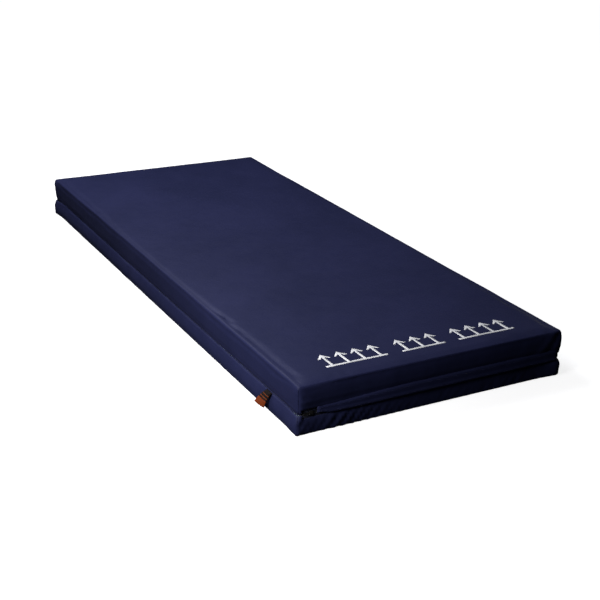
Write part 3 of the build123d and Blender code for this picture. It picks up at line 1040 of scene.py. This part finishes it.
# %% Corner seams
SEAM_RADIUS, SEAM_STEP, SEAM_LIFT = 0.9 * MM, 4 * MM, 0.1 * MM
RAY_START = 50 * MM  # how far outside a corner each ray begins


def corner_lines(cloth, zip_side_heights, sewn_side_heights):
    """A line down each upright corner of a cover half, lying on its cloth."""
    tree = surface_of(cloth)
    lines = []
    for side_x in (-1.0, 1.0):
        for side_y in (-1.0, 1.0):
            outward = Vector((side_x, side_y, 0.0)).normalized()
            low, high = sewn_side_heights if side_x < 0 else zip_side_heights
            line = []
            for z in [low, *steps_between(low, high, SEAM_STEP), high]:
                start = Vector((side_x * WIDTH / 2, side_y * LENGTH / 2, z)) + outward * RAY_START
                hit = tree.ray_cast(start, -outward)[0]
                if hit:
                    line.append(hit + outward * SEAM_LIFT)
            lines.append(line)
    return lines


top_lines = corner_lines(top_cloth, (74 * MM, 135 * MM), (64 * MM, 135 * MM))
top_seams = tube(top_lines, SEAM_RADIUS, 1)
make_piece("top_corner_seams", top_seams, cover_fabric, "cover_top")
border_lines = corner_lines(bottom_cloth, (5 * MM, 46 * MM), (5 * MM, 56 * MM))
border_seams = tube(border_lines, SEAM_RADIUS, 1)
make_piece("border_corner_seams", border_seams, cover_fabric, "mattress_base")
print("seams sewn")

# %% [markdown]
# ## Printed orientation marks
# White marks on the sleeping surface say which end is the foot. They are ink, so they take the cloth's shape:
# the flat CAD marks are cut into cells, and each corner is dropped onto the cloth by a ray from above.

# %% Print
ink_bm = bmesh.new()
ink_bm.from_mesh(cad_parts["orientation_print"].data)
bmesh.ops.remove_doubles(ink_bm, verts=ink_bm.verts, dist=0.01 * MM)
not_up = [f for f in ink_bm.faces if f.normal.z < 0.5]
bmesh.ops.delete(ink_bm, geom=not_up, context="FACES")
print_low, print_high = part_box("orientation_print")
cut_at(ink_bm, 0, steps_between(print_low.x, print_high.x, CELL_X))
cut_at(ink_bm, 1, steps_between(print_low.y, print_high.y, CELL_Y))
INK_LIFT, INK_THICKNESS = 0.3 * MM, 0.25 * MM
top_tree = surface_of(top_cloth)
for vert in ink_bm.verts:
    hit = top_tree.ray_cast(Vector((vert.co.x, vert.co.y, 2 * HEIGHT)), Vector((0.0, 0.0, -1.0)))[0]
    vert.co.z = hit.z + INK_LIFT
ink = make_piece("orientation_marks", ink_bm, print_ink, "cover_top")
give_thickness(ink, INK_THICKNESS)
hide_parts("orientation_print")
print("marks printed", len(ink.data.polygons), "faces")

# %% [markdown]
# ## Side tag
# A ribbon loop is sewn into the left seam. It is one long strip, folded at its tip, whose two corners hang at
# different angles, so it twists. A flat grid with its UV map is moved to that shape by a formula; the UV map
# then tells the weave and the woven bands where they are along the strip.

# %% Tag finish
TAG_WIDTH, TAG_DROP, TAG_GAP = 29 * MM, 46 * MM, 0.6 * MM
TAG_STRIP = 2 * TAG_DROP + math.pi * TAG_GAP
tag_ribbon, tree, shader = new_material("ribbon_weave")
strip = put(tree, "ShaderNodeUVMap")
in_metres = put(tree, "ShaderNodeMapping", Scale=(TAG_WIDTH, TAG_STRIP, 1.0))
tree.links.new(strip.outputs["UV"], in_metres.inputs["Vector"])
weave = put(tree, "ShaderNodeGroup", node_tree=weave_group, Threads_per_metre=2200.0)
tree.links.new(in_metres.outputs["Vector"], weave.inputs["Vector"])
parts = put(tree, "ShaderNodeSeparateXYZ")
tree.links.new(strip.outputs["UV"], parts.inputs["Vector"])
from_tip = math_node(
    tree,
    "ABSOLUTE",
    math_node(tree, "SUBTRACT", math_node(tree, "MULTIPLY", parts.outputs["Y"], 2.0), 1.0),
    0.0,
)
bands = put(tree, "ShaderNodeValToRGB")
bands.color_ramp.interpolation = "CONSTANT"
ORANGE, BROWN, AMBER = (0.2, 0.036, 0.006, 1.0), (0.008, 0.004, 0.0035, 1.0), (0.16, 0.036, 0.009, 1.0)
# Where each colour starts, as a share of the way from the tip to the seam.
BANDS = [(0.0, ORANGE), (0.4, BROWN), (0.5, AMBER), (0.55, BROWN), (0.68, AMBER), (0.72, BROWN)]
bands.color_ramp.elements[0].color = BANDS[0][1]
bands.color_ramp.elements[1].position = BANDS[1][0]
bands.color_ramp.elements[1].color = BANDS[1][1]
for position, colour in BANDS[2:]:
    bands.color_ramp.elements.new(position).color = colour
tree.links.new(from_tip, bands.inputs["Fac"])
dull = put(tree, "ShaderNodeMix", data_type="RGBA", blend_type="MULTIPLY")
tree.links.new(spread(tree, weave.outputs["Fade"], 0.3, 0.7, 0.1, 0.55), dull.inputs["Factor"])
tree.links.new(bands.outputs["Color"], dull.inputs["A"])
dull.inputs["B"].default_value = (0.45, 0.42, 0.42, 1.0)
tree.links.new(dull.outputs["Result"], shader.inputs["Base Color"])
tree.links.new(spread(tree, weave.outputs["Height"], 0.0, 1.0, 0.62, 0.42), shader.inputs["Roughness"])
shader.inputs["Specular IOR Level"].default_value = 0.08
bump = put(tree, "ShaderNodeBump", Strength=0.6, Distance=0.0002)
tree.links.new(weave.outputs["Height"], bump.inputs["Height"])
tree.links.new(bump.outputs["Normal"], shader.inputs["Normal"])

# %% Tag ribbon
TAG_ROOT = Vector((-425.2, 0.0, 59.6)) * MM
TAG_Y = (-859.0 * MM, -832.0 * MM)  # its foot side and its head side, at the seam
TAG_LEAN = (math.radians(26.6), math.radians(53.8))  # from hanging straight, at the two sides
TAG_CURL = math.radians(16.0)
TAG_TIP_SHIFT = (6.0 * MM, 2.0 * MM)
TAG_STEPS = 30
TAG_THICKNESS = 0.5 * MM


def tag_place(across, travel):
    """Where a point of the strip lies: across 0 to 1 over its width, travel in metres along it."""
    turned = 0.0
    face = 1.0  # the front layer, and -1 for the back one
    if travel < TAG_DROP:
        down = travel
    elif travel < TAG_DROP + math.pi * TAG_GAP:
        down = TAG_DROP
        turned = (travel - TAG_DROP) / TAG_GAP
    else:
        down = max(0.0, TAG_STRIP - travel)
        face = -1.0
    lean = TAG_LEAN[0] + (TAG_LEAN[1] - TAG_LEAN[0]) * across
    spot = TAG_ROOT.copy()
    step = down / TAG_STEPS
    for i in range(TAG_STEPS):
        share = (i + 0.5) * step / TAG_DROP
        angle = lean + TAG_CURL * (1.0 - 2.0 * share)
        spot += Vector((-math.sin(angle), 0.0, -math.cos(angle))) * step
    angle = lean + TAG_CURL * (1.0 - 2.0 * down / TAG_DROP)
    outward = Vector((-math.cos(angle), 0.0, math.sin(angle)))
    onward = Vector((-math.sin(angle), 0.0, -math.cos(angle)))
    lift = TAG_GAP * face * math.cos(turned)
    spot += outward * lift + onward * (TAG_GAP * math.sin(turned))
    shift = TAG_TIP_SHIFT[0] + (TAG_TIP_SHIFT[1] - TAG_TIP_SHIFT[0]) * across
    spot.y = TAG_Y[0] + (TAG_Y[1] - TAG_Y[0]) * across + shift * down / TAG_DROP
    crumple = 0.35 * MM * noise.noise(Vector((across * 2.2, down * 60.0, 7.7)))
    return spot + outward * crumple * min(1.0, down / (8 * MM))


bm = bmesh.new()
bm.loops.layers.uv.new("UVMap")
bmesh.ops.create_grid(bm, x_segments=14, y_segments=120, size=0.5, calc_uvs=True)
for vert in bm.verts:
    vert.co = tag_place(vert.co.x + 0.5, (vert.co.y + 0.5) * TAG_STRIP)
tag = make_piece("side_tag_ribbon", bm, tag_ribbon, "side_tag")
give_thickness(tag, TAG_THICKNESS, 0.0)
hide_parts("side_tag")
tag_tip = min((v.co for v in tag.data.vertices), key=lambda c: c.z)
print("tag hangs to", [round(c, 4) for c in tag_tip])

# %% [markdown]
# ## Foam core
# Inside are a base block between two firmer edge rails, and a slow-recovery layer cut into cells. Cut foam
# has slightly rounded edges and faces that aren't quite flat. The cells come from planes either side of each
# groove, whose floor is then extruded down; the cell tops are raised a little in the middle.

# %% Foam finishes
cells_group, cells_in, cells_out = make_group(
    "open_cells",
    {"Vector": ("NodeSocketVector", None), "Cells per metre": ("NodeSocketFloat", 900.0)},
    {"Height": "NodeSocketFloat", "Mottle": "NodeSocketFloat"},
)
pores = put(cells_group, "ShaderNodeTexVoronoi", feature="F1")
cells_group.links.new(cells_in.outputs["Vector"], pores.inputs["Vector"])
cells_group.links.new(cells_in.outputs["Cells per metre"], pores.inputs["Scale"])
cells_group.links.new(pores.outputs["Distance"], cells_out.inputs["Height"])
mottle = noise_at(cells_group, cells_in.outputs["Vector"], 14.0, 5.0)
cells_group.links.new(mottle, cells_out.inputs["Mottle"])


def foam_material(name, deep, pale, cells):
    """Open-cell foam: pores in the surface and a faint mottle."""
    material, tree, shader = new_material(name)
    place = put(tree, "ShaderNodeTexCoord")
    foam = put(tree, "ShaderNodeGroup", node_tree=cells_group, Cells_per_metre=cells)
    tree.links.new(place.outputs["Object"], foam.inputs["Vector"])
    pore = spread(tree, foam.outputs["Height"], 0.15, 0.6, 0.72, 1.0)
    mottle = spread(tree, foam.outputs["Mottle"], 0.3, 0.7, 0.0, 1.0)
    tone = math_node(tree, "MULTIPLY", pore, mottle)
    tree.links.new(blend_colour(tree, tone, deep, pale), shader.inputs["Base Color"])
    tree.links.new(spread(tree, foam.outputs["Mottle"], 0.3, 0.7, 0.85, 0.97), shader.inputs["Roughness"])
    shader.inputs["Specular IOR Level"].default_value = 0.2
    bump = put(tree, "ShaderNodeBump", Strength=0.7, Distance=0.0009)
    tree.links.new(foam.outputs["Height"], bump.inputs["Height"])
    tree.links.new(bump.outputs["Normal"], shader.inputs["Normal"])
    return material


base_finish = foam_material("block_foam", (0.62, 0.6, 0.5), (0.78, 0.76, 0.66), 750.0)
rail_finish = foam_material("edge_foam", (0.34, 0.46, 0.53), (0.42, 0.55, 0.62), 850.0)
visco_finish = foam_material("slow_foam", (0.7, 0.64, 0.46), (0.86, 0.8, 0.6), 1500.0)


# %% Foam blocks
FOAM_GAP, CELLS_SINK = 0.6 * MM, 2.2 * MM
BLOCK_EDGE, BLOCK_CELL, BLOCK_SWELL = 3 * MM, 60 * MM, 0.5 * MM


def foam_bmesh(node, sink):
    """A block a little inside its CAD node; sink lowers its top."""
    low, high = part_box(node)
    low, high = low + Vector((FOAM_GAP, FOAM_GAP, FOAM_GAP)), high - Vector((FOAM_GAP, FOAM_GAP, sink))
    bm = bmesh.new()
    bmesh.ops.create_cube(bm, size=1.0)
    bmesh.ops.scale(bm, vec=high - low, verts=bm.verts)
    bmesh.ops.translate(bm, vec=(high + low) / 2, verts=bm.verts)
    return bm, low, high


def foam_block(name, node, finish):
    """One cut block of foam that stands for a CAD node."""
    bm, low, high = foam_bmesh(node, FOAM_GAP)
    bmesh.ops.bevel(
        bm, geom=bm.edges[:], offset=BLOCK_EDGE, segments=2, affect="EDGES", profile=0.5, material=-1
    )
    cut_at(bm, 0, steps_between(low.x, high.x, BLOCK_CELL))
    cut_at(bm, 1, steps_between(low.y, high.y, BLOCK_CELL))
    piece = make_piece(name, bm, finish, "mattress_base")
    push_out(piece, lambda point, normal: BLOCK_SWELL * wander(point, 0.11) - BLOCK_SWELL)
    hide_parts(node)


foam_block("base_block", "base_foam", base_finish)
foam_block("left_rail", "edge_rail_left", rail_finish)
foam_block("right_rail", "edge_rail_right", rail_finish)

# %% Cell-cut top layer
GROOVE_WIDTH, GROOVE_DEPTH, GROOVE_MARGIN = 3 * MM, 30 * MM, 90 * MM
CORE_LOW, CORE_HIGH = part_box("visco_layer")
SHOULDER = 22 * MM  # from a groove to where a cell's top is level
CELL_RISE, LIP_RADIUS = 0.7 * MM, 2.5 * MM
bm, _, high = foam_bmesh("visco_layer", CELLS_SINK)
TOP_FROM = high.z - 0.01 * MM  # a point above this belongs to the top face


def evenly(low_end, high_end, count):
    """Places from one end to the other, both ends counted."""
    return [low_end + (high_end - low_end) * i / (count - 1) for i in range(count)]


groove_places = [
    evenly(CORE_LOW.x + GROOVE_MARGIN, CORE_HIGH.x - GROOVE_MARGIN, 5),
    evenly(CORE_LOW.y + GROOVE_MARGIN, CORE_HIGH.y - GROOVE_MARGIN, 13),
]
for axis, places in enumerate(groove_places):
    for place in places:
        for aside in (-SHOULDER, -GROOVE_WIDTH / 2, GROOVE_WIDTH / 2, SHOULDER):
            cut_at(bm, axis, [place + aside])


def from_groove(point):
    """Distance from a point to the nearest groove's middle."""
    return min(abs(point[axis] - place) for axis in (0, 1) for place in groove_places[axis])


floors = []
for face in bm.faces:
    if face.normal.z > 0.9 and from_groove(face.calc_center_median()) < GROOVE_WIDTH / 2:
        floors.append(face)
made = bmesh.ops.extrude_face_region(bm, geom=floors)["geom"]
sunk = [g for g in made if isinstance(g, bmesh.types.BMVert)]
bmesh.ops.translate(bm, vec=(0.0, 0.0, -GROOVE_DEPTH), verts=sunk)
lips = []
for edge in bm.edges:
    if len(edge.link_faces) == 2 and all(v.co.z > TOP_FROM for v in edge.verts):
        if min(f.normal.z for f in edge.link_faces) < 0.5:
            lips.append(edge)
bmesh.ops.bevel(
    bm, geom=lips, offset=LIP_RADIUS, segments=2, affect="EDGES", profile=0.5, material=-1
)
for vert in bm.verts:
    if vert.co.z > TOP_FROM:
        vert.co.z += CELL_RISE * ease(from_groove(vert.co), 4 * MM, SHOULDER)
bmesh.ops.recalc_face_normals(bm, faces=bm.faces)
visco = make_piece("cell_cut_layer", bm, visco_finish, "mattress_base")
visco.data.set_sharp_from_angle(angle=math.radians(40))
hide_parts("visco_layer")
print("cell layer", len(visco.data.polygons), "faces")

# %% [markdown]
# ## Slider, puller and stops
# The metal parts are exact in the CAD. The slider, its pin and the puller are copied and given softened edges
# by a Bevel modifier, because cast metal has no knife edges. The stops keep their CAD mesh and get a finish.


# %% Metal parts
SHARP_ANGLE = math.radians(35)


def softened(name, node, body, width):
    """A copy of a CAD node with its edges rounded over."""
    bm = bmesh.new()
    bm.from_mesh(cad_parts[node].data)
    bmesh.ops.remove_doubles(bm, verts=bm.verts, dist=0.005 * MM)
    bmesh.ops.dissolve_limit(bm, angle_limit=math.radians(1.0), verts=bm.verts, edges=bm.edges)
    piece = make_piece(name, bm, slider_metal, body)
    piece.data.set_sharp_from_angle(angle=SHARP_ANGLE)
    bevel = piece.modifiers.new("soft_edges", "BEVEL")
    bevel.width = width
    bevel.segments = 2
    bevel.limit_method = "ANGLE"
    bevel.angle_limit = SHARP_ANGLE
    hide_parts(node)


softened("slider_casting", "slider_body", "zip_slider", 0.35 * MM)
softened("puller_plate", "puller_tab", "zip_puller", 0.3 * MM)
softened("puller_pivot", "puller_pin", "zip_slider", 0.1 * MM)
for node in ("upper_zip_stops", "lower_zip_stops"):
    for material_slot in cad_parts[node].material_slots:
        material_slot.material = slider_metal
print("metal parts finished")
